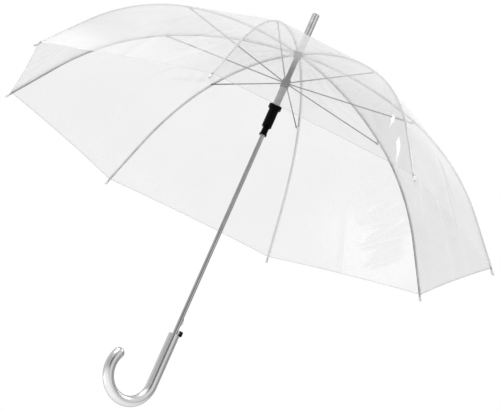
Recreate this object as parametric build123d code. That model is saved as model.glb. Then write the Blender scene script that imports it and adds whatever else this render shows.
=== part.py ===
from build123d import *
import os
from math import asin, atan2, cos, degrees, hypot, radians, sin

# Clear bubble umbrella with eight ribs, opened by a spring and let go by a button.
# All sizes are in millimetres. The origin is the middle of the grip, on the shaft's axis.
# +Z runs up the shaft to the ferrule, and the hook opens towards +X.

# Canopy frame
RIB_COUNT = 8
RIB_STEP = 360 / RIB_COUNT
HALF_STEP = RIB_STEP / 2
PIVOT_RADIUS = 6.4
CROWN_Z = 635.0
HUB_Z = 573.0
JOINT_RADIUS = 250.0
JOINT_Z = 585.0
JOINT_DROP = 3.0
TIP_RADIUS = 490.0
TIP_Z = 360.0
TIP_SLOPE = 53.0

# Rib: a fluted steel strip that is open underneath, with a flat blade at the crown
RIB_WIDTH = 3.0
RIB_DEPTH = 2.4
RIB_WALL = 0.6
CHANNEL_START = 14.0
BLADE_END = 20.0
BLADE_THICKNESS = 1.0
EYE_RADIUS = 1.3
RING_WIRE_RADIUS = 0.4
RING_CLEARANCE = 0.06
BRACKET_LENGTH = 9.0
BRACKET_WALL = 0.45
BRACKET_EAR_RADIUS = 1.9

# Rib tip cap
CAP_RADIUS = 2.6
CAP_LENGTH = 7.0

# Stretcher: a steel rod with a flattened eye at each end
ROD_RADIUS = 1.15
STRETCHER_SIDE_STEP = 3.5
STRETCHER_EYE_RADIUS = 2.2
STRETCHER_INNER_BLADE = 9.0
STRETCHER_OUTER_BLADE = 7.0
BLADE_OVERLAP = 4.0
RIVET_RADIUS = 1.3
RIVET_START = 2.1
RIVET_END = 4.6

# Film
FILM_THICKNESS = 0.2
FILM_LIFT = 2.1
FILM_SEAM = 0.2
FILM_INNER_RADIUS = 9.0
FILM_TIP_GAP = 13.0
FILM_HEM_RISE = 3.0

# Shaft and ferrule
SHAFT_RADIUS = 4.0
SHAFT_BORE = 3.4
SHAFT_FOOT_Z = 14.0
SHAFT_TOP_Z = 700.0
FERRULE_RADIUS = 7.0
FERRULE_TOP_Z = 723.0
FERRULE_CHAMFER = 0.8
RUNNING_CLEARANCE = 0.08

# Crown and hub: notched discs that hold the wire rings
DISC_RADIUS = 8.0
NOTCH_ROOT = 4.95
NOTCH_WIDTH = 1.5
RING_BORE_RADIUS = 0.46
CROWN_BOTTOM_Z = 628.0
CROWN_TOP_Z = 640.0
CROWN_PLATE = 3.0
HUB_BOTTOM_Z = 563.0
HUB_TOP_Z = 580.0
HUB_FLOOR = 5.5
COVER_RADIUS = 13.0
COVER_THICKNESS = 1.0
COVER_DROP = 2.4

# Runner
SLEEVE_BOTTOM_Z = 461.0
SLEEVE_TOP_Z = 524.0
TUBE_RADIUS = 4.8
TUBE_TOP_Z = 567.0
SLEEVE_FOOT_RADIUS = 7.2
SLEEVE_FOOT_HEIGHT = 3.5
SLEEVE_NECK_RADIUS = 6.1
SLEEVE_BODY_Z = 479.0
SLEEVE_BODY_RADIUS = 9.2
SLEEVE_RIM_RADIUS = 12.4
SLEEVE_RIM_HEIGHT = 6.5
BUSH_RADIUS = 7.0
BUSH_GROOVE_RADIUS = 6.0
BUSH_RIB_PITCH = 5.0
BUSH_TOP_Z = 562.8
WINDOW_LOW_Z = 465.0
WINDOW_HIGH_Z = 487.0
WINDOW_WIDTH = 4.0
WINDOW_DEPTH = 7.4

# Opening spring, a tight coil when the umbrella is open
SPRING_INNER = 4.25
SPRING_OUTER = 5.25
SPRING_BOTTOM_Z = 580.6
SPRING_TOP_Z = 627.6

# Handle
HANDLE_RADIUS = 10.0
HANDLE_TOP_Z = 51.0
HOOK_START_Z = -50.0
HOOK_RADIUS = 47.5
HOOK_SWEEP = 205.0
HOOK_TAIL = 3.0
SOCKET_FLOOR_Z = 13.0
SOCKET_CLEARANCE = 0.05
COLLAR_RADIUS = 5.8
COLLAR_BOTTOM_Z = 48.0
COLLAR_TOP_Z = 51.4

# Release: a steel leaf inside the shaft, with a catch bump and a push button
LEAF_WIDTH = 3.0
LEAF_OUTER_X = -2.9
LEAF_THICKNESS = 0.5
LEAF_TOP_Z = 90.0
LEAF_PIVOT_X = -1.7
LEAF_PIVOT_Z = 20.0
LEAF_EYE_RADIUS = 1.2
LEAF_PIN_RADIUS = 0.57
BUMP_LOW_Z = 68.0
BUMP_HIGH_Z = 86.0
BUMP_REACH_X = -6.5
SLOT_WIDTH = 3.6
STEM_SLOT_LOW_Z = 54.0
STEM_SLOT_HIGH_Z = 62.0
BUTTON_LOW_Z = 52.0
BUTTON_HIGH_Z = 62.0
BUTTON_INNER_X = -8.5
BUTTON_OUTER_X = -14.0
BUTTON_WIDTH = 8.0
STEM_WIDTH = 2.8
STEM_HEIGHT = 4.0

FAR = 40.0


class DomeLine:
    """A rib's curve from the crown: an arc, level at the crown, a tighter arc, then straight."""

    def __init__(self, crown_radius, joint_radius, tip_radius, tip_slope):
        run = joint_radius - crown_radius
        drop = CROWN_Z - JOINT_Z
        chord_slope = atan2(drop, run)
        self.joint_slope = 2 * chord_slope
        self.tip_slope = radians(tip_slope)
        self.upper = hypot(run, drop) / (2 * sin(chord_slope))
        run = tip_radius - joint_radius
        drop = JOINT_Z - TIP_Z
        across = sin(self.tip_slope) - sin(self.joint_slope)
        down = cos(self.joint_slope) - cos(self.tip_slope)
        scale = across * sin(self.tip_slope) - down * cos(self.tip_slope)
        self.lower = (run * sin(self.tip_slope) - drop * cos(self.tip_slope)) / scale
        self.straight = (drop - self.lower * down) / sin(self.tip_slope)
        self.crown = (crown_radius, CROWN_Z)
        self.joint = (joint_radius, JOINT_Z)
        self.tip = (tip_radius, TIP_Z)
        self.upper_length = self.upper * self.joint_slope
        self.lower_length = self.lower * (self.tip_slope - self.joint_slope)
        self.bend_end = self.upper_length + self.lower_length
        self.length = self.bend_end + self.straight

    def length_to(self, radius):
        """Length along the line from the crown to a radius on the upper arc."""
        return self.upper * asin((radius - self.crown[0]) / self.upper)

    def point(self, along, lift):
        """The point that far along the line and that far outside it, in the XZ plane."""
        if along <= self.upper_length:
            slope = along / self.upper
            radius = self.crown[0] + (self.upper + lift) * sin(slope)
            height = self.crown[1] - self.upper + (self.upper + lift) * cos(slope)
            return (radius, 0, height)
        if along <= self.bend_end:
            slope = self.joint_slope + (along - self.upper_length) / self.lower
            centre_r = self.joint[0] - self.lower * sin(self.joint_slope)
            centre_z = self.joint[1] - self.lower * cos(self.joint_slope)
            radius = centre_r + (self.lower + lift) * sin(slope)
            return (radius, 0, centre_z + (self.lower + lift) * cos(slope))
        back = self.length - along
        radius = self.tip[0] - back * cos(self.tip_slope) + lift * sin(self.tip_slope)
        height = self.tip[1] + back * sin(self.tip_slope) + lift * cos(self.tip_slope)
        return (radius, 0, height)

    def edges(self, start, end, lift):
        """Arcs and a straight run along the line between two lengths."""
        found = []
        for low, high in ((0, self.upper_length), (self.upper_length, self.bend_end)):
            a = max(low, start)
            b = min(high, end)
            if b > a:
                middle = self.point((a + b) / 2, lift)
                found.append(ThreePointArc(self.point(a, lift), middle, self.point(b, lift)))
        if end > self.bend_end:
            a = max(self.bend_end, start)
            found.append(Line(self.point(a, lift), self.point(end, lift)))
        return found

    def strip(self, start, end, low, high):
        """The flat face between two lifts and two lengths, in the XZ plane."""
        sides = self.edges(start, end, low) + self.edges(start, end, high)
        ends = [
            Line(self.point(start, low), self.point(start, high)),
            Line(self.point(end, low), self.point(end, high)),
        ]
        return Face(Wire(sides + ends))


def slab(face, width):
    """A face in the XZ plane, made solid by the same width to both sides."""
    return extrude(face, amount=width / 2, dir=(0, 1, 0), both=True)


def ring(low, high, inner, outer):
    """A round tube on the shaft's axis."""
    tube = Cylinder(outer, high - low) - Cylinder(inner, high - low)
    return Pos(0, 0, (low + high) / 2) * tube


def across(radius, length, x, y, z):
    """A pin along Y."""
    return Pos(x, y, z) * Rot(90, 0, 0) * Cylinder(radius, length)


def rod(low, high, radius):
    """A solid cylinder on the shaft's axis."""
    return Pos(0, 0, (low + high) / 2) * Cylinder(radius, high - low)


def block(x_low, x_high, width, z_low, z_high):
    """A box that is symmetric about the XZ plane."""
    middle = Pos((x_low + x_high) / 2, 0, (z_low + z_high) / 2)
    return middle * Box(x_high - x_low, width, z_high - z_low)


def turned(shape, index):
    """The shape at rib number index, counted from 0."""
    return Rot(0, 0, index * RIB_STEP) * shape


def write(shape, name):
    shape.label = name
    export_step(shape, f"parts/{name}.step")


rib_line = DomeLine(PIVOT_RADIUS, JOINT_RADIUS, TIP_RADIUS, TIP_SLOPE)
narrow = cos(radians(HALF_STEP))
valley_slope = degrees(atan2(sin(radians(TIP_SLOPE)), cos(radians(TIP_SLOPE)) * narrow))
valley_line = DomeLine(
    PIVOT_RADIUS * narrow, JOINT_RADIUS * narrow, TIP_RADIUS * narrow, valley_slope
)

rib_end = rib_line.length - CAP_RADIUS
joint_pivot = Vector(rib_line.point(rib_line.upper_length, -JOINT_DROP))


def make_rib():
    half = RIB_DEPTH / 2
    start = rib_line.length_to(CHANNEL_START)
    end = rib_end
    channel = slab(rib_line.strip(start, end, -half, half), RIB_WIDTH)
    groove_face = rib_line.strip(start, end, -half - RIB_WALL, half - RIB_WALL)
    channel -= slab(groove_face, RIB_WIDTH - 2 * RIB_WALL)
    blade_end = rib_line.length_to(BLADE_END)
    blade = slab(rib_line.strip(0, blade_end, -half, half), BLADE_THICKNESS)
    eye = across(EYE_RADIUS, BLADE_THICKNESS, PIVOT_RADIUS, 0, CROWN_Z)
    hole = across(RING_WIRE_RADIUS + RING_CLEARANCE, FAR, PIVOT_RADIUS, 0, CROWN_Z)
    return channel + blade + eye - hole


def make_bracket():
    """The clip crimped under the rib where the stretcher meets it."""
    half = RIB_DEPTH / 2
    start = rib_line.upper_length - BRACKET_LENGTH / 2
    end = rib_line.upper_length + BRACKET_LENGTH / 2
    outer = slab(
        rib_line.strip(start, end, -half - BRACKET_WALL, half), RIB_WIDTH + 2 * BRACKET_WALL
    )
    rib_space = slab(rib_line.strip(start - 1, end + 1, -half, half + 1), RIB_WIDTH)
    ear_y = (RIB_WIDTH + BRACKET_WALL) / 2
    ear = across(BRACKET_EAR_RADIUS, BRACKET_WALL, joint_pivot.X, ear_y, joint_pivot.Z)
    return outer - rib_space + ear


def make_tip():
    """The ball-ended cap on the rib's outer end."""
    ball = rib_line.length - CAP_RADIUS
    place = Pos(*rib_line.point(ball, 0)) * Rot(0, 90 + TIP_SLOPE, 0)
    body = Pos(0, 0, -CAP_LENGTH / 2) * Cylinder(CAP_RADIUS, CAP_LENGTH) + Sphere(CAP_RADIUS)
    cap = place * body
    half = RIB_DEPTH / 2
    return cap - slab(rib_line.strip(ball - 2 * CAP_LENGTH, rib_end, -half, half), RIB_WIDTH)


def make_stretcher():
    run = joint_pivot.X - PIVOT_RADIUS
    rise = joint_pivot.Z - HUB_Z
    length = hypot(run, rise)
    inner_end = STRETCHER_INNER_BLADE
    outer_end = length - STRETCHER_OUTER_BLADE
    lean = STRETCHER_SIDE_STEP / length
    start = Vector(inner_end, inner_end * lean, 0)
    finish = Vector(outer_end, outer_end * lean, 0)
    wire_plane = Plane(origin=start, z_dir=finish - start)
    wire = Solid.make_cylinder(ROD_RADIUS, (finish - start).length, wire_plane)
    inner = block(0, inner_end + BLADE_OVERLAP, BLADE_THICKNESS, -ROD_RADIUS, ROD_RADIUS)
    inner += across(EYE_RADIUS, BLADE_THICKNESS, 0, 0, 0)
    outer = block(outer_end - BLADE_OVERLAP, length, BLADE_THICKNESS, -ROD_RADIUS, ROD_RADIUS)
    outer += across(STRETCHER_EYE_RADIUS, BLADE_THICKNESS, length, 0, 0)
    outer = Pos(0, STRETCHER_SIDE_STEP, 0) * outer
    rivet_y = (RIVET_START + RIVET_END) / 2
    rivet = across(RIVET_RADIUS, RIVET_END - RIVET_START, length, rivet_y, 0)
    hole = across(RING_WIRE_RADIUS + RING_CLEARANCE, FAR, 0, 0, 0)
    flat = Part() + wire + inner + outer + rivet - hole
    return Pos(PIVOT_RADIUS, 0, HUB_Z) * Rot(0, -degrees(atan2(rise, run)), 0) * flat


def make_half_gore():
    """The film from just beside a rib to the fold line in the middle of its gore."""
    high = FILM_LIFT + FILM_THICKNESS
    start = rib_line.length_to(FILM_INNER_RADIUS)
    rib_side = rib_line.strip(start, rib_line.length - FILM_TIP_GAP, FILM_LIFT, high)
    valley_start = valley_line.length_to(FILM_INNER_RADIUS * narrow)
    valley_end = valley_line.length - FILM_TIP_GAP - FILM_HEM_RISE
    valley_side = valley_line.strip(valley_start, valley_end, FILM_LIFT, high)
    rib_side = Pos(0, FILM_SEAM, 0) * rib_side
    valley_side = Rot(0, 0, HALF_STEP) * Pos(0, -FILM_SEAM, 0) * valley_side
    return loft([rib_side, valley_side], ruled=True)


def notched_disc(low, high, notch_low, notch_high, pivot_z, bore):
    """A disc with a notch for each blade and a bore for the wire ring."""
    disc = ring(low, high, bore, DISC_RADIUS)
    notch = block(NOTCH_ROOT, FAR, NOTCH_WIDTH, notch_low, notch_high)
    for index in range(RIB_COUNT):
        disc -= turned(notch, index)
    return disc - Pos(0, 0, pivot_z) * Torus(PIVOT_RADIUS, RING_BORE_RADIUS)


def make_crown():
    return notched_disc(
        CROWN_BOTTOM_Z, CROWN_TOP_Z, CROWN_BOTTOM_Z - 1, CROWN_TOP_Z - CROWN_PLATE,
        CROWN_Z, SHAFT_RADIUS,
    )


def make_hub():
    floor = HUB_BOTTOM_Z + HUB_FLOOR
    bore = SHAFT_RADIUS + RUNNING_CLEARANCE
    disc = notched_disc(HUB_BOTTOM_Z, HUB_TOP_Z, floor, HUB_TOP_Z + 1, HUB_Z, bore)
    return disc - rod(HUB_BOTTOM_Z, TUBE_TOP_Z, TUBE_RADIUS)


def make_cover():
    """The washer that clamps the film's centre on the crown."""
    outline = Polyline(
        (SHAFT_RADIUS, 0, CROWN_TOP_Z),
        (DISC_RADIUS, 0, CROWN_TOP_Z),
        (COVER_RADIUS, 0, CROWN_TOP_Z - COVER_DROP),
        (COVER_RADIUS, 0, CROWN_TOP_Z - COVER_DROP + COVER_THICKNESS),
        (DISC_RADIUS, 0, CROWN_TOP_Z + COVER_THICKNESS),
        (SHAFT_RADIUS, 0, CROWN_TOP_Z + COVER_THICKNESS),
        close=True,
    )
    return revolve(Face(Wire(outline.edges())), Axis.Z)


def make_ferrule():
    bottom = CROWN_TOP_Z + COVER_THICKNESS
    body = rod(bottom, FERRULE_TOP_Z, FERRULE_RADIUS)
    body = chamfer(body.edges().group_by(Axis.Z)[-1], FERRULE_CHAMFER)
    return body - rod(bottom, SHAFT_TOP_Z, SHAFT_RADIUS)


def make_shaft():
    tube = ring(SHAFT_FOOT_Z, SHAFT_TOP_Z, SHAFT_BORE, SHAFT_RADIUS)
    tube -= block(-2 * SHAFT_RADIUS, LEAF_OUTER_X, SLOT_WIDTH, STEM_SLOT_LOW_Z, STEM_SLOT_HIGH_Z)
    tube -= block(-2 * SHAFT_RADIUS, LEAF_OUTER_X, SLOT_WIDTH, BUMP_LOW_Z - 1, BUMP_HIGH_Z + 1)
    return tube - across(LEAF_PIN_RADIUS, FAR, LEAF_PIVOT_X, 0, LEAF_PIVOT_Z)


def window():
    """The catch's window in the runner."""
    return block(-WINDOW_DEPTH, -3.0, WINDOW_WIDTH, WINDOW_LOW_Z, WINDOW_HIGH_Z)


def make_runner_tube():
    inner = SHAFT_RADIUS + RUNNING_CLEARANCE
    return ring(SLEEVE_BOTTOM_Z, TUBE_TOP_Z, inner, TUBE_RADIUS) - window()


def make_sleeve():
    foot_top = SLEEVE_BOTTOM_Z + SLEEVE_FOOT_HEIGHT
    rim_bottom = SLEEVE_TOP_Z - SLEEVE_RIM_HEIGHT
    sleeve = ring(SLEEVE_BOTTOM_Z, foot_top, TUBE_RADIUS, SLEEVE_FOOT_RADIUS)
    sleeve += ring(foot_top, SLEEVE_BODY_Z, TUBE_RADIUS, SLEEVE_NECK_RADIUS)
    sleeve += ring(SLEEVE_BODY_Z, rim_bottom, TUBE_RADIUS, SLEEVE_BODY_RADIUS)
    sleeve += ring(rim_bottom, SLEEVE_TOP_Z, TUBE_RADIUS, SLEEVE_RIM_RADIUS)
    return sleeve - window()


def make_bush():
    """The ribbed collar between the sleeve and the hub."""
    bush = ring(SLEEVE_TOP_Z, BUSH_TOP_Z, TUBE_RADIUS, BUSH_GROOVE_RADIUS)
    rib_count = int((BUSH_TOP_Z - SLEEVE_TOP_Z) / BUSH_RIB_PITCH)
    for index in range(rib_count + 1):
        low = SLEEVE_TOP_Z + index * BUSH_RIB_PITCH
        bush += ring(low, low + BUSH_RIB_PITCH / 2, TUBE_RADIUS, BUSH_RADIUS)
    return bush


def make_wire_ring(z):
    return Pos(0, 0, z) * Torus(PIVOT_RADIUS, RING_WIRE_RADIUS)


def make_handle():
    """The J-shaped grip, with a round end and a socket for the shaft."""
    centre = (HOOK_RADIUS, 0, HOOK_START_Z)

    def on_hook(angle):
        turn = radians(angle)
        return (centre[0] - HOOK_RADIUS * cos(turn), 0, centre[2] - HOOK_RADIUS * sin(turn))

    end = Vector(on_hook(HOOK_SWEEP))
    turn = radians(HOOK_SWEEP)
    tail = end + Vector(sin(turn), 0, -cos(turn)) * HOOK_TAIL
    straight = Line((0, 0, HANDLE_TOP_Z), (0, 0, HOOK_START_Z))
    bend = ThreePointArc((0, 0, HOOK_START_Z), on_hook(HOOK_SWEEP / 2), end)
    path = Wire([straight, bend, Line(end, tail)])
    section = Pos(0, 0, HANDLE_TOP_Z) * Circle(HANDLE_RADIUS)
    grip = sweep(section, path=path)
    grip += Pos(*tail) * Sphere(HANDLE_RADIUS)
    grip -= rod(SOCKET_FLOOR_Z, HANDLE_TOP_Z + 1, SHAFT_RADIUS + SOCKET_CLEARANCE)
    return grip - rod(COLLAR_BOTTOM_Z, HANDLE_TOP_Z + 1, COLLAR_RADIUS)


def make_leaf():
    """The spring leaf in the shaft, with the bump that holds the closed runner."""
    inner_x = LEAF_OUTER_X + LEAF_THICKNESS
    middle_z = (BUMP_LOW_Z + BUMP_HIGH_Z) / 2
    outline = [
        Line((LEAF_OUTER_X, 0, LEAF_PIVOT_Z), (LEAF_OUTER_X, 0, BUMP_LOW_Z)),
        ThreePointArc(
            (LEAF_OUTER_X, 0, BUMP_LOW_Z),
            (BUMP_REACH_X, 0, middle_z),
            (LEAF_OUTER_X, 0, BUMP_HIGH_Z),
        ),
        Line((LEAF_OUTER_X, 0, BUMP_HIGH_Z), (LEAF_OUTER_X, 0, LEAF_TOP_Z)),
        Line((LEAF_OUTER_X, 0, LEAF_TOP_Z), (inner_x, 0, LEAF_TOP_Z)),
        Line((inner_x, 0, LEAF_TOP_Z), (inner_x, 0, BUMP_HIGH_Z)),
        ThreePointArc(
            (inner_x, 0, BUMP_HIGH_Z),
            (BUMP_REACH_X + LEAF_THICKNESS, 0, middle_z),
            (inner_x, 0, BUMP_LOW_Z),
        ),
        Line((inner_x, 0, BUMP_LOW_Z), (inner_x, 0, LEAF_PIVOT_Z)),
        Line((inner_x, 0, LEAF_PIVOT_Z), (LEAF_OUTER_X, 0, LEAF_PIVOT_Z)),
    ]
    leaf = slab(Face(Wire(outline)), LEAF_WIDTH)
    leaf += across(LEAF_EYE_RADIUS, LEAF_WIDTH, LEAF_PIVOT_X, 0, LEAF_PIVOT_Z)
    hole = across(LEAF_PIN_RADIUS + RUNNING_CLEARANCE, FAR, LEAF_PIVOT_X, 0, LEAF_PIVOT_Z)
    return leaf - hole


def make_leaf_pin():
    reach = 2 * (SHAFT_RADIUS**2 - (LEAF_PIVOT_X - LEAF_PIN_RADIUS) ** 2) ** 0.5
    return across(LEAF_PIN_RADIUS, reach, LEAF_PIVOT_X, 0, LEAF_PIVOT_Z)


def make_stem():
    middle = (BUTTON_LOW_Z + BUTTON_HIGH_Z) / 2
    low = middle - STEM_HEIGHT / 2
    return block(BUTTON_INNER_X, LEAF_OUTER_X, STEM_WIDTH, low, low + STEM_HEIGHT)


def make_button():
    button = block(BUTTON_OUTER_X, BUTTON_INNER_X, BUTTON_WIDTH, BUTTON_LOW_Z, BUTTON_HIGH_Z)
    button = fillet(button.edges().filter_by(Axis.X), 2.2)
    return fillet(button.edges().group_by(Axis.X)[0], 1.2)


def main():
    os.makedirs("parts", exist_ok=True)
    rib = Compound(children=[make_rib(), make_bracket()])
    tip = make_tip()
    stretcher = make_stretcher()
    right_half = make_half_gore()
    left_half = mirror(right_half, Plane.XZ)
    for index in range(RIB_COUNT):
        number = index + 1
        write(turned(rib, index), f"rib_{number}")
        write(turned(tip, index), f"rib_tip_{number}")
        write(turned(stretcher, index), f"stretcher_{number}")
        write(turned(right_half, index), f"canopy_half_{number}a")
        write(turned(left_half, index), f"canopy_half_{number}b")
    write(make_shaft(), "shaft")
    write(make_ferrule(), "ferrule")
    write(make_cover(), "crown_cover")
    write(make_crown(), "crown")
    write(make_wire_ring(CROWN_Z), "crown_ring")
    write(ring(SPRING_BOTTOM_Z, SPRING_TOP_Z, SPRING_INNER, SPRING_OUTER), "opening_spring")
    write(make_runner_tube(), "runner_tube")
    write(make_sleeve(), "runner_sleeve")
    write(make_bush(), "runner_bush")
    write(make_hub(), "runner_hub")
    write(make_wire_ring(HUB_Z), "runner_ring")
    write(make_handle(), "handle")
    collar = ring(COLLAR_BOTTOM_Z, COLLAR_TOP_Z, SHAFT_RADIUS + SOCKET_CLEARANCE, COLLAR_RADIUS)
    write(collar, "handle_collar")
    write(make_leaf(), "release_leaf")
    write(make_leaf_pin(), "leaf_pin")
    write(make_stem(), "button_stem")
    write(make_button(), "push_button")


main()
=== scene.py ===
import math
import random

import bpy
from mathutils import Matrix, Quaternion, Vector


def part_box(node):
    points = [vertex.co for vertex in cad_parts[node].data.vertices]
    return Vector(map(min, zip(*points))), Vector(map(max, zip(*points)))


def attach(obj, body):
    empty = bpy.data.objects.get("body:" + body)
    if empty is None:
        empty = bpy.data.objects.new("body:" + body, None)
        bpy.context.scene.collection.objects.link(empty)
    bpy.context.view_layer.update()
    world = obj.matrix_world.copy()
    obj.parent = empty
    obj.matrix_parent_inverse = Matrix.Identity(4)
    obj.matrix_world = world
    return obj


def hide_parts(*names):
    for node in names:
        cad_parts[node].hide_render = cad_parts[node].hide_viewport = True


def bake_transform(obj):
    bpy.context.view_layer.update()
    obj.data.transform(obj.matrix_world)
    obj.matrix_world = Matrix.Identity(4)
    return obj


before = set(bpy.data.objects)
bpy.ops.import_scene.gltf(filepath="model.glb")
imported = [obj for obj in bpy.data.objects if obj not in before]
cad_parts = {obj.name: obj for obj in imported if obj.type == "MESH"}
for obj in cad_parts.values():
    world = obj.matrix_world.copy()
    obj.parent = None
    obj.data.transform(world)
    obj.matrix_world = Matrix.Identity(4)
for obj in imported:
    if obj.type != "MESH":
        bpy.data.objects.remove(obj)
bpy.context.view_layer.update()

# Clear bubble umbrella, in metres, in the CAD model's frame.

# Camera: below the canopy's edge, looking up into it
CAMERA_AIM = Vector((-0.0302, 0.0094, 0.3309))
CAMERA_DISTANCE = 3.3533
CAMERA_AZIMUTH = math.radians(58.03)
CAMERA_ELEVATION = math.radians(-15.5)
CAMERA_ROLL = math.radians(23.77)
CAMERA_LENS = 131.29

# The rib's curve, as in the CAD model
RIB_COUNT = 8
RIB_STEP = math.radians(360 / RIB_COUNT)
HALF_STEP = RIB_STEP / 2
PIVOT_RADIUS = 0.0064
CROWN_Z = 0.635
JOINT_RADIUS = 0.250
JOINT_Z = 0.585
TIP_RADIUS = 0.490
TIP_Z = 0.360
TIP_SLOPE = math.radians(53.0)

# Film
FILM_LIFT = 0.0022
FILM_INNER_RADIUS = 0.009
FILM_TIP_GAP = 0.013
HEM_RISE = 0.003
HEM_WIDTH = 0.003
HEM_GAP = 0.0003
ROWS_ALONG = 150
ROWS_ACROSS = 44
CREASES_PER_GORE = 7
SEAM_INNER_RADIUS = 0.0135
SEAM_END_GAP = 0.002
SEAM_HALF_WIDTH = 0.003
SEAM_GAP = 0.00025
SEAM_THICKNESS = 0.0002
SEAM_ROWS = 180

# Opening spring
SPRING_WIRE_RADIUS = 0.00042
SPRING_TURNS = 44
SPRING_STEPS = 20
WIRE_SIDES = 8

FLOOR_Z = -0.85
FLOOR_SIZE = 40.0


# ---------------------------------------------------------------- camera and studio

def make_camera():
    data = bpy.data.cameras.new("camera")
    data.lens = CAMERA_LENS
    data.sensor_width = 36.0
    data.clip_end = 100.0
    camera = bpy.data.objects.new("camera", data)
    bpy.context.scene.collection.objects.link(camera)
    level = math.cos(CAMERA_ELEVATION)
    back = Vector((
        level * math.cos(CAMERA_AZIMUTH),
        level * math.sin(CAMERA_AZIMUTH),
        math.sin(CAMERA_ELEVATION),
    ))
    camera.location = CAMERA_AIM + back * CAMERA_DISTANCE
    camera.rotation_mode = "QUATERNION"
    roll = Quaternion((0, 0, 1), CAMERA_ROLL)
    camera.rotation_quaternion = (-back).to_track_quat("-Z", "Y") @ roll
    bpy.context.scene.camera = camera


def direction(azimuth, elevation):
    """The unit vector towards an azimuth, counted from the camera's, and an elevation."""
    turn = CAMERA_AZIMUTH + math.radians(azimuth)
    rise = math.radians(elevation)
    return Vector((
        math.cos(rise) * math.cos(turn), math.cos(rise) * math.sin(turn), math.sin(rise)
    ))


def dark_flag(tree, light, towards, inner, outer, level):
    """The light, dimmed to level inside a cone and untouched outside a wider one."""
    coords = tree.nodes.new("ShaderNodeTexCoord")
    dot = tree.nodes.new("ShaderNodeVectorMath")
    dot.operation = "DOT_PRODUCT"
    dot.inputs[1].default_value = towards
    dim = tree.nodes.new("ShaderNodeMapRange")
    dim.interpolation_type = "SMOOTHSTEP"
    dim.inputs["From Min"].default_value = math.cos(math.radians(outer))
    dim.inputs["From Max"].default_value = math.cos(math.radians(inner))
    dim.inputs["To Min"].default_value = 1.0
    dim.inputs["To Max"].default_value = level
    product = tree.nodes.new("ShaderNodeMath")
    product.operation = "MULTIPLY"
    tree.links.new(coords.outputs["Generated"], dot.inputs[0])
    tree.links.new(dot.outputs["Value"], dim.inputs["Value"])
    tree.links.new(dim.outputs["Result"], product.inputs[0])
    tree.links.new(light, product.inputs[1])
    return product.outputs[0]


def make_world():
    """A white studio: white behind the object, with darker flags for metal to reflect."""
    world = bpy.data.worlds.new("studio")
    bpy.context.scene.world = world
    world.use_nodes = True
    tree = world.node_tree
    tree.nodes.clear()
    base = tree.nodes.new("ShaderNodeValue")
    base.outputs[0].default_value = 0.95
    light = base.outputs[0]
    light = dark_flag(tree, light, direction(-3, 12), 8, 26, 0.14)
    light = dark_flag(tree, light, direction(100, 12), 20, 42, 0.45)
    light = dark_flag(tree, light, direction(-60, 10), 15, 45, 0.65)
    studio = tree.nodes.new("ShaderNodeBackground")
    tree.links.new(light, studio.inputs["Color"])
    white = tree.nodes.new("ShaderNodeBackground")
    white.inputs["Color"].default_value = (1, 1, 1, 1)
    path = tree.nodes.new("ShaderNodeLightPath")
    mix = tree.nodes.new("ShaderNodeMixShader")
    output = tree.nodes.new("ShaderNodeOutputWorld")
    tree.links.new(path.outputs["Is Camera Ray"], mix.inputs[0])
    tree.links.new(studio.outputs[0], mix.inputs[1])
    tree.links.new(white.outputs[0], mix.inputs[2])
    tree.links.new(mix.outputs[0], output.inputs["Surface"])


def make_light(name, azimuth, elevation, distance, size, energy):
    """A square soft light, aimed at the middle of the picture."""
    data = bpy.data.lights.new(name, "AREA")
    data.shape = "SQUARE"
    data.size = size
    data.energy = energy
    light = bpy.data.objects.new(name, data)
    light.visible_camera = False
    bpy.context.scene.collection.objects.link(light)
    towards = direction(azimuth, elevation)
    light.location = CAMERA_AIM + towards * distance
    light.rotation_mode = "QUATERNION"
    light.rotation_quaternion = (-towards).to_track_quat("-Z", "Y")


def make_studio():
    make_world()
    make_light("key_light", -55, 50, 3.2, 1.6, 75)
    make_light("fill_light", 80, 50, 3.2, 1.6, 14)
    make_light("top_light", 95, 62, 3.0, 0.5, 9)
    make_light("rim_light", -105, 45, 3.0, 0.5, 9)
    make_light("low_light", -91, -48, 1.22, 0.30, 0.8)
    bpy.context.scene.view_settings.view_transform = "Standard"
    half = FLOOR_SIZE / 2
    corners = [(-half, -half), (half, -half), (half, half), (-half, half)]
    floor = make_mesh("floor", [(x, y, FLOOR_Z) for x, y in corners], [(0, 1, 2, 3)])
    floor.data.materials.append(floor_material())


# ---------------------------------------------------------------- node helpers

def noise(tree, scale, detail=3.0, stretch=(1, 1, 1), coordinates="Object"):
    """A noise value over the surface. Stretch scales its axes, in turns per metre times scale."""
    coords = tree.nodes.new("ShaderNodeTexCoord")
    mapping = tree.nodes.new("ShaderNodeMapping")
    mapping.inputs["Scale"].default_value = stretch
    texture = tree.nodes.new("ShaderNodeTexNoise")
    texture.inputs["Scale"].default_value = scale
    texture.inputs["Detail"].default_value = detail
    tree.links.new(coords.outputs[coordinates], mapping.inputs["Vector"])
    tree.links.new(mapping.outputs["Vector"], texture.inputs["Vector"])
    return texture.outputs[0]


def spread(tree, value, low, high, from_low=0.3, from_high=0.7):
    node = tree.nodes.new("ShaderNodeMapRange")
    node.inputs["From Min"].default_value = from_low
    node.inputs["From Max"].default_value = from_high
    node.inputs["To Min"].default_value = low
    node.inputs["To Max"].default_value = high
    tree.links.new(value, node.inputs["Value"])
    return node.outputs["Result"]


def ramp(tree, value, dark, light, low=0.3, high=0.7):
    node = tree.nodes.new("ShaderNodeValToRGB")
    node.color_ramp.elements[0].position = low
    node.color_ramp.elements[0].color = (*dark, 1)
    node.color_ramp.elements[1].position = high
    node.color_ramp.elements[1].color = (*light, 1)
    tree.links.new(value, node.inputs["Fac"])
    return node.outputs["Color"]


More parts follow.
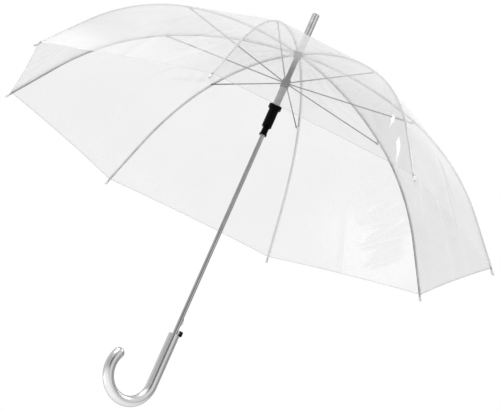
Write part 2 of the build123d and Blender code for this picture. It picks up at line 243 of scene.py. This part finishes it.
def bump(tree, value, strength, depth, under=None):
    node = tree.nodes.new("ShaderNodeBump")
    node.inputs["Strength"].default_value = strength
    node.inputs["Distance"].default_value = depth
    tree.links.new(value, node.inputs["Height"])
    if under is not None:
        tree.links.new(under, node.inputs["Normal"])
    return node.outputs["Normal"]


def new_material(name, **uniform):
    """A material with these values the same all over, set on the shader's own sockets."""
    material = bpy.data.materials.new(name)
    material.use_nodes = True
    shader = material.node_tree.nodes["Principled BSDF"]
    for socket, value in uniform.items():
        shader.inputs[socket.replace("_", " ")].default_value = value
    return material, material.node_tree, shader


def grey(value):
    return (value, value, value)


def finish_material(tree, shader, colour, roughness, normal):
    tree.links.new(colour, shader.inputs["Base Color"])
    tree.links.new(roughness, shader.inputs["Roughness"])
    tree.links.new(normal, shader.inputs["Normal"])


# ---------------------------------------------------------------- materials

def floor_material():
    material, tree, shader = new_material("floor_paper")
    soft = noise(tree, 1.5)
    finish_material(
        tree, shader, ramp(tree, soft, grey(0.93), grey(0.95)),
        spread(tree, soft, 0.7, 0.8), bump(tree, noise(tree, 400), 0.05, 0.0002),
    )
    return material


def film_material():
    """Clear soft film: see-through face on and milky at a slant, with a wet gloss."""
    material, tree, shader = new_material(
        "clear_film", IOR=1.9, Sheen_Weight=0.6, Sheen_Roughness=0.4
    )
    facing = tree.nodes.new("ShaderNodeLayerWeight")
    cloudy = spread(tree, facing.outputs["Facing"], 0.28, 0.57, 0.42, 0.60)
    tree.links.new(cloudy, shader.inputs["Alpha"])
    cloud = noise(tree, 9, 4)
    ripple = noise(tree, 16, 2, (1, 1, 0.5))
    finish_material(
        tree, shader, ramp(tree, cloud, grey(0.45), grey(0.52)),
        spread(tree, cloud, 0.10, 0.20), bump(tree, ripple, 0.3, 0.002),
    )
    return material


def seam_material():
    """Welded double film along the ribs, with the weld tool's fine cross ribs."""
    material, tree, shader = new_material("welded_seam", Alpha=0.14, IOR=1.7)
    coords = tree.nodes.new("ShaderNodeTexCoord")
    wave = tree.nodes.new("ShaderNodeTexWave")
    wave.inputs["Scale"].default_value = 220
    wave.inputs["Distortion"].default_value = 0.4
    tree.links.new(coords.outputs["UV"], wave.inputs["Vector"])
    cloud = noise(tree, 60, 3)
    finish_material(
        tree, shader, ramp(tree, cloud, grey(0.74), grey(0.84)),
        spread(tree, cloud, 0.22, 0.38), bump(tree, wave.outputs["Fac"], 0.5, 0.0002),
    )
    return material


def rib_material(name, darkest, lightest):
    """Plated steel strip, a little dulled and uneven in tone, with a fine grain."""
    material, tree, shader = new_material(name, Metallic=1.0)
    streak = noise(tree, 26, 5)
    grain = noise(tree, 1400, 2)
    finish_material(
        tree, shader, ramp(tree, streak, grey(darkest), grey(lightest)),
        spread(tree, streak, 0.24, 0.40), bump(tree, grain, 0.12, 0.0001),
    )
    return material


def shaft_material():
    """Chromed tube with faint drawing lines along it and a few dull smudges."""
    material, tree, shader = new_material(
        "shaft_chrome", Metallic=1.0, Specular_Tint=(0.35, 0.35, 0.35, 1)
    )
    lines = noise(tree, 1, 3, (1600, 1600, 6))
    smudge = noise(tree, 30, 5, (1, 1, 0.5))
    finish_material(
        tree, shader, ramp(tree, smudge, grey(0.44), grey(0.56)),
        spread(tree, smudge, 0.08, 0.18), bump(tree, lines, 0.03, 0.00003),
    )
    return material


def ferrule_material():
    """Satin turned metal, a little uneven, with fine rings from the lathe."""
    material, tree, shader = new_material(
        "ferrule_metal", Metallic=1.0, Specular_Tint=(0.4, 0.4, 0.4, 1)
    )
    rings = noise(tree, 1, 2, (8, 8, 2600))
    smudge = noise(tree, 60, 4)
    finish_material(
        tree, shader, ramp(tree, smudge, grey(0.58), grey(0.68)),
        spread(tree, smudge, 0.18, 0.28), bump(tree, rings, 0.05, 0.00003),
    )
    return material


def black_plastic_material():
    """Moulded black plastic with a fine grain, paler and smoother where it is rubbed."""
    material, tree, shader = new_material("black_plastic", Specular_IOR_Level=0.05)
    grain = noise(tree, 2600, 2)
    rubbed = noise(tree, 160, 6)
    finish_material(
        tree, shader, ramp(tree, rubbed, grey(0.001), grey(0.003), 0.45, 0.75),
        spread(tree, rubbed, 0.42, 0.30), bump(tree, grain, 0.18, 0.00006),
    )
    return material


def dark_plastic_material():
    """Dark moulded plastic of the crown and hub."""
    material, tree, shader = new_material("dark_plastic", Specular_IOR_Level=0.3)
    grain = noise(tree, 2200, 2)
    cloud = noise(tree, 120, 4)
    finish_material(
        tree, shader, ramp(tree, cloud, grey(0.010), grey(0.022)),
        spread(tree, cloud, 0.35, 0.5), bump(tree, grain, 0.2, 0.00006),
    )
    return material


def pale_plastic_material():
    """Pale moulded plastic, slightly uneven."""
    material, tree, shader = new_material("pale_plastic", IOR=1.48)
    cloud = noise(tree, 140, 4)
    grain = noise(tree, 2400, 2)
    finish_material(
        tree, shader, ramp(tree, cloud, grey(0.54), grey(0.64)),
        spread(tree, cloud, 0.28, 0.42), bump(tree, grain, 0.12, 0.00006),
    )
    return material


def bush_material():
    """Dark grey moulded plastic under a thin gloss, slightly uneven."""
    material, tree, shader = new_material("grey_plastic", IOR=1.55, Coat_Weight=0.6)
    cloud = noise(tree, 160, 4)
    grain = noise(tree, 2400, 2)
    finish_material(
        tree, shader, ramp(tree, cloud, grey(0.16), grey(0.24)),
        spread(tree, cloud, 0.22, 0.36), bump(tree, grain, 0.12, 0.00006),
    )
    return material


def spring_material():
    """Oiled dark spring steel."""
    material, tree, shader = new_material("dark_spring", Metallic=1.0)
    cloud = noise(tree, 220, 4)
    grain = noise(tree, 3000, 2)
    finish_material(
        tree, shader, ramp(tree, cloud, grey(0.012), grey(0.04)),
        spread(tree, cloud, 0.3, 0.45), bump(tree, grain, 0.1, 0.00005),
    )
    return material


def wire_material():
    """Bright drawn wire and pins."""
    material, tree, shader = new_material("bright_wire", Metallic=1.0)
    cloud = noise(tree, 300, 4)
    grain = noise(tree, 3000, 2)
    finish_material(
        tree, shader, ramp(tree, cloud, grey(0.5), grey(0.66)),
        spread(tree, cloud, 0.2, 0.35), bump(tree, grain, 0.1, 0.00005),
    )
    return material


def silver_plastic_material():
    """Silver lacquer on the moulded handle, with faint flow lines and fine handling marks."""
    material, tree, shader = new_material(
        "silver_plastic", Metallic=1.0, Specular_Tint=(0.5, 0.5, 0.5, 1)
    )
    flow = noise(tree, 24, 3, (1, 1, 0.35))
    marks = noise(tree, 500, 4)
    normal = bump(tree, flow, 0.06, 0.0006)
    finish_material(
        tree, shader, ramp(tree, flow, grey(0.60), grey(0.70)),
        spread(tree, marks, 0.19, 0.27), bump(tree, marks, 0.05, 0.00005, normal),
    )
    return material


# ---------------------------------------------------------------- geometry helpers

class DomeLine:
    """A rib's curve from the crown: an arc, level at the crown, a tighter arc, then straight."""

    def __init__(self):
        run = JOINT_RADIUS - PIVOT_RADIUS
        drop = CROWN_Z - JOINT_Z
        chord_slope = math.atan2(drop, run)
        self.joint_slope = 2 * chord_slope
        self.upper = math.hypot(run, drop) / (2 * math.sin(chord_slope))
        run = TIP_RADIUS - JOINT_RADIUS
        drop = JOINT_Z - TIP_Z
        across = math.sin(TIP_SLOPE) - math.sin(self.joint_slope)
        down = math.cos(self.joint_slope) - math.cos(TIP_SLOPE)
        scale = across * math.sin(TIP_SLOPE) - down * math.cos(TIP_SLOPE)
        self.lower = (run * math.sin(TIP_SLOPE) - drop * math.cos(TIP_SLOPE)) / scale
        straight = (drop - self.lower * down) / math.sin(TIP_SLOPE)
        self.upper_length = self.upper * self.joint_slope
        self.bend_end = self.upper_length + self.lower * (TIP_SLOPE - self.joint_slope)
        self.length = self.bend_end + straight

    def length_to(self, radius):
        return self.upper * math.asin((radius - PIVOT_RADIUS) / self.upper)

    def slope(self, along):
        if along <= self.upper_length:
            return along / self.upper
        if along <= self.bend_end:
            return self.joint_slope + (along - self.upper_length) / self.lower
        return TIP_SLOPE

    def point(self, along, lift):
        """Radius and height that far along the line and that far outside it."""
        slope = self.slope(along)
        out = lift * math.sin(slope)
        up = lift * math.cos(slope)
        if along <= self.upper_length:
            radius = PIVOT_RADIUS + self.upper * math.sin(slope)
            height = CROWN_Z - self.upper * (1 - math.cos(slope))
        elif along <= self.bend_end:
            radius = JOINT_RADIUS + self.lower * (math.sin(slope) - math.sin(self.joint_slope))
            height = JOINT_Z + self.lower * (math.cos(slope) - math.cos(self.joint_slope))
        else:
            back = self.length - along
            radius = TIP_RADIUS - back * math.cos(slope)
            height = TIP_Z + back * math.sin(slope)
        return radius + out, height + up


def make_mesh(name, points, faces):
    mesh = bpy.data.meshes.new(name)
    mesh.from_pydata(points, [], faces)
    mesh.validate()
    for polygon in mesh.polygons:
        polygon.use_smooth = True
    piece = bpy.data.objects.new(name, mesh)
    bpy.context.scene.collection.objects.link(piece)
    return piece


def grid_faces(rows, columns, first=0, flip=False):
    """The quads of a grid whose points are listed row by row."""
    faces = []
    for row in range(rows):
        for column in range(columns):
            a = first + row * (columns + 1) + column
            quad = (a, a + 1, a + columns + 2, a + columns + 1)
            faces.append(quad[::-1] if flip else quad)
    return faces


def smooth_step(value):
    value = min(1.0, max(0.0, value))
    return value * value * (3 - 2 * value)


# ---------------------------------------------------------------- film

class Crease:
    """A soft fold in the flat gore: a line with a rounded ridge that fades at its ends."""

    def __init__(self, along, across, angle, reach, width, height):
        self.along = along
        self.across = across
        self.angle = math.radians(angle)
        self.reach = reach
        self.width = width
        self.height = height

    def lift(self, along, sideways, half_width):
        run = along - self.along
        side = sideways - self.across * half_width
        on = run * math.cos(self.angle) + side * math.sin(self.angle)
        off = side * math.cos(self.angle) - run * math.sin(self.angle)
        fade = math.exp(-((on / self.reach) ** 2))
        return self.height * fade * math.exp(-((off / self.width) ** 2))


def stray_crease(draw):
    """A faint fold anywhere on a gore, left from folding the film away."""
    return Crease(
        along=draw.uniform(0.25, 0.92) * dome.length,
        across=draw.uniform(-0.8, 0.8),
        angle=draw.choice((-1, 1)) * draw.uniform(18, 75),
        reach=draw.uniform(0.05, 0.14),
        width=draw.uniform(0.006, 0.013),
        height=draw.choice((-1, 1)) * draw.uniform(0.0005, 0.0012),
    )


def crease_fan(side, first, last, count, angle, height, across=0.62, width=0.0058):
    """Folds that run out from the rib on one side, where the film is pulled hardest."""
    creases = []
    for step in range(count):
        share = first + (last - first) * step / (count - 1)
        turn = angle + 5 * math.sin(3.7 * step)
        reach = 0.050 + 0.014 * math.sin(2.3 * step)
        sign = 1 if step % 2 else -1
        creases.append(Crease(
            share * dome.length, across * side, -side * turn, reach, width, sign * height
        ))
    return creases


class Gore:
    """One panel of film between two ribs, stretched straight from rib to rib."""

    def __init__(self, index):
        self.middle = (index + 0.5) * RIB_STEP
        self.phase = 1.7 * index
        draw = random.Random(40 + index)
        self.creases = [stray_crease(draw) for _ in range(CREASES_PER_GORE)]
        self.creases += creases_by_gore.get(index, [])

    def wrinkle(self, along, share):
        """How far the film stands off the straight panel. Share is -1 and 1 at the ribs."""
        half_width = dome.point(along, 0)[0] * math.sin(HALF_STEP)
        sideways = share * half_width
        held = 1 - share**4
        fan = math.sin(11 * share + self.phase) * math.exp(-(((along - 0.06) / 0.07) ** 2))
        beside_rib = math.exp(-((half_width - abs(sideways)) / 0.035))
        joint_window = math.exp(-(((along - dome.upper_length - 0.02) / 0.10) ** 2))
        pull = math.sin((along - 1.1 * abs(sideways)) / 0.0062 + self.phase)
        memory = -0.0009 * math.exp(-((sideways / 0.009) ** 2))
        memory *= smooth_step((along - 0.18) / 0.2)
        lift = 0.0004 * fan + 0.0007 * pull * beside_rib * joint_window + memory
        lift += sum(crease.lift(along, sideways, half_width) for crease in self.creases)
        rim = smooth_step((along - 0.02) / 0.05)
        return lift * held * rim

    def point(self, along, share, lift=FILM_LIFT):
        """The film's point that far from the crown, share of the way across."""
        radius, height = dome.point(along, lift)
        near = radius * math.cos(HALF_STEP)
        side = share * radius * math.sin(HALF_STEP)
        slope = math.atan2(math.tan(dome.slope(along)), math.cos(HALF_STEP))
        stand = self.wrinkle(along, share)
        near += stand * math.sin(slope)
        height += stand * math.cos(slope)
        cosine, sine = math.cos(self.middle), math.sin(self.middle)
        return (near * cosine - side * sine, near * sine + side * cosine, height)


def hem_end(share):
    """Length along the gore to its hem, which is a shallow arch between the ribs."""
    return dome.length - FILM_TIP_GAP - HEM_RISE * (1 - share * share)


def make_half(gore, rib_number, side):
    """The film from a rib to the middle of its gore: side a is counter-clockwise of the rib."""
    toward = -1 if side == "a" else 1
    start = dome.length_to(FILM_INNER_RADIUS)
    points = []
    for row in range(ROWS_ALONG + 1):
        for column in range(ROWS_ACROSS + 1):
            share = toward * (1 - column / ROWS_ACROSS)
            along = start + (hem_end(share) - start) * row / ROWS_ALONG
            points.append(gore.point(along, share))
    faces = grid_faces(ROWS_ALONG, ROWS_ACROSS, 0, side == "b")
    first = len(points)
    for step in range(3):
        for column in range(ROWS_ACROSS + 1):
            share = toward * (1 - column / ROWS_ACROSS)
            along = hem_end(share) - HEM_WIDTH * step / 2
            points.append(gore.point(along, share, FILM_LIFT - HEM_GAP * min(step, 1)))
    faces += grid_faces(2, ROWS_ACROSS, first, side == "b")
    name = f"film_{rib_number}{side}"
    piece = make_mesh(name, points, faces)
    piece.data.materials.append(film)
    fold_start = Vector(gore.point(hem_end(toward), toward))
    fold_end = Vector(gore.point(hem_end(0), 0))
    node = f"canopy_half_{rib_number}{side}"
    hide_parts(node)
    half_area()
    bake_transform(piece)


def half_area():
    """The flat area of half a gore, added up in strips along it."""
    strips = 200
    start = dome.length_to(FILM_INNER_RADIUS)
    total = 0.0
    for strip in range(strips):
        along = start + (dome.length - FILM_TIP_GAP - start) * (strip + 0.5) / strips
        width = dome.point(along, FILM_LIFT)[0] * math.sin(HALF_STEP)
        total += width * (dome.length - FILM_TIP_GAP - start) / strips
    lost = HEM_RISE * 2 / 3 * TIP_RADIUS * math.sin(HALF_STEP)
    return total - lost


def make_seam(rib_index):
    """The welded strip over a rib, bent along the ridge between its two panels."""
    left = gores[rib_index]
    right = gores[rib_index - 1]
    start = dome.length_to(SEAM_INNER_RADIUS)
    end = dome.length - FILM_TIP_GAP - SEAM_END_GAP
    offsets = (-1, -0.5, 0, 0.5, 1)
    points, layers = [], []
    for layer in (0, 1):
        lift = FILM_LIFT + SEAM_GAP + layer * SEAM_THICKNESS
        for row in range(SEAM_ROWS + 1):
            along = start + (end - start) * row / SEAM_ROWS
            half_width = dome.point(along, lift)[0] * math.sin(HALF_STEP)
            for offset in offsets:
                share = 1 - abs(offset) * SEAM_HALF_WIDTH / half_width
                if offset >= 0:
                    points.append(left.point(along, -share, lift))
                else:
                    points.append(right.point(along, share, lift))
    columns = len(offsets) - 1
    count = (SEAM_ROWS + 1) * len(offsets)
    faces = grid_faces(SEAM_ROWS, columns, 0, True) + grid_faces(SEAM_ROWS, columns, count)
    for row in range(SEAM_ROWS):
        for column, flip in ((0, False), (columns, True)):
            a = row * len(offsets) + column
            b = a + len(offsets)
            quad = (a, a + count, b + count, b)
            faces.append(quad[::-1] if flip else quad)
    for row, flip in ((0, True), (SEAM_ROWS, False)):
        for column in range(columns):
            a = row * len(offsets) + column
            quad = (a, a + count, a + 1 + count, a + 1)
            faces.append(quad[::-1] if flip else quad)
    number = rib_index + 1
    piece = make_mesh(f"seam_{number}", points, faces)
    layer = piece.data.uv_layers.new(name="along_seam")
    for loop in piece.data.loops:
        row = (loop.vertex_index % count) // len(offsets)
        column = loop.vertex_index % len(offsets)
        layer.data[loop.index].uv = ((end - start) * row / SEAM_ROWS, column * SEAM_HALF_WIDTH / 2)
    piece.data.materials.append(welded)
    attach(piece, f"rib_{number}")


# ---------------------------------------------------------------- opening spring

def even_share(share):
    """Where a point has to lie for the blend to move it by exactly this share."""
    return 0.5 - math.sin(math.asin(1 - 2 * share) / 3)


def make_spring():
    """The coil between the hub and the crown; the real coil stretches as the runner comes down."""
    low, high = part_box("opening_spring")
    radius = high.x - SPRING_WIRE_RADIUS
    rise = high.z - low.z - 2 * SPRING_WIRE_RADIUS
    steps = SPRING_TURNS * SPRING_STEPS
    points, line = [], []
    for step in range(steps + 1):
        turn = 2 * math.pi * step / SPRING_STEPS
        height = low.z + SPRING_WIRE_RADIUS + rise * step / steps
        for side in range(WIRE_SIDES):
            angle = 2 * math.pi * side / WIRE_SIDES
            out = radius + SPRING_WIRE_RADIUS * math.cos(angle)
            up = height + SPRING_WIRE_RADIUS * math.sin(angle)
            points.append(Vector((out * math.cos(turn), out * math.sin(turn), up)))
            line.append((0, 0, high.z - (high.z - low.z) * even_share(1 - step / steps)))
    faces = []
    for step in range(steps):
        for side in range(WIRE_SIDES):
            a = step * WIRE_SIDES + side
            b = step * WIRE_SIDES + (side + 1) % WIRE_SIDES
            faces.append((a, a + WIRE_SIDES, b + WIRE_SIDES, b))
    last = steps * WIRE_SIDES
    faces.append(tuple(range(WIRE_SIDES)))
    faces.append(tuple(last + side for side in reversed(range(WIRE_SIDES))))
    piece = make_mesh("spring_coil", points, faces)
    piece.data.materials.append(spring_material())
    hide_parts("opening_spring")
    # The wire's points are moved onto its middle line for the transform bake, then put back
    for vertex, place in zip(piece.data.vertices, line):
        vertex.co = place
    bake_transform(piece)
    for vertex, place in zip(piece.data.vertices, points):
        vertex.co = place


# ---------------------------------------------------------------- CAD nodes

def paint(material, *names):
    """Gives CAD nodes a finish."""
    for name in names:
        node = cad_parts[name]
        node.data.materials.clear()
        node.data.materials.append(material)


def paint_nodes():
    numbers = range(1, RIB_COUNT + 1)
    paint(rib_material("rib_steel", 0.52, 0.66), *[f"rib_{n}" for n in numbers])
    paint(rib_material("stretcher_steel", 0.12, 0.20), *[f"stretcher_{n}" for n in numbers])
    pale = pale_plastic_material()
    paint(pale, *[f"rib_tip_{n}" for n in numbers])
    paint(pale, "runner_tube", "button_stem", "crown_cover")
    paint(bush_material(), "runner_bush")
    paint(shaft_material(), "shaft")
    paint(ferrule_material(), "ferrule")
    paint(black_plastic_material(), "runner_sleeve", "push_button")
    paint(dark_plastic_material(), "crown", "runner_hub", "handle_collar")
    paint(wire_material(), "crown_ring", "runner_ring", "release_leaf", "leaf_pin")
    paint(silver_plastic_material(), "handle")


make_camera()
make_studio()
dome = DomeLine()
creases_by_gore = {
    0: crease_fan(1, 0.74, 0.90, 4, 40, 0.0016),
    1: crease_fan(1, 0.66, 0.88, 4, 12, 0.0045, 0.82, 0.008),
    4: crease_fan(-1, 0.50, 0.88, 12, 62, 0.0026, 0.62, 0.0048),
}
gores = [Gore(index) for index in range(RIB_COUNT)]
film = film_material()
welded = seam_material()
for rib_index in range(RIB_COUNT):
    make_half(gores[rib_index], rib_index + 1, "a")
    make_half(gores[rib_index - 1], rib_index + 1, "b")
    make_seam(rib_index)
make_spring()
paint_nodes()
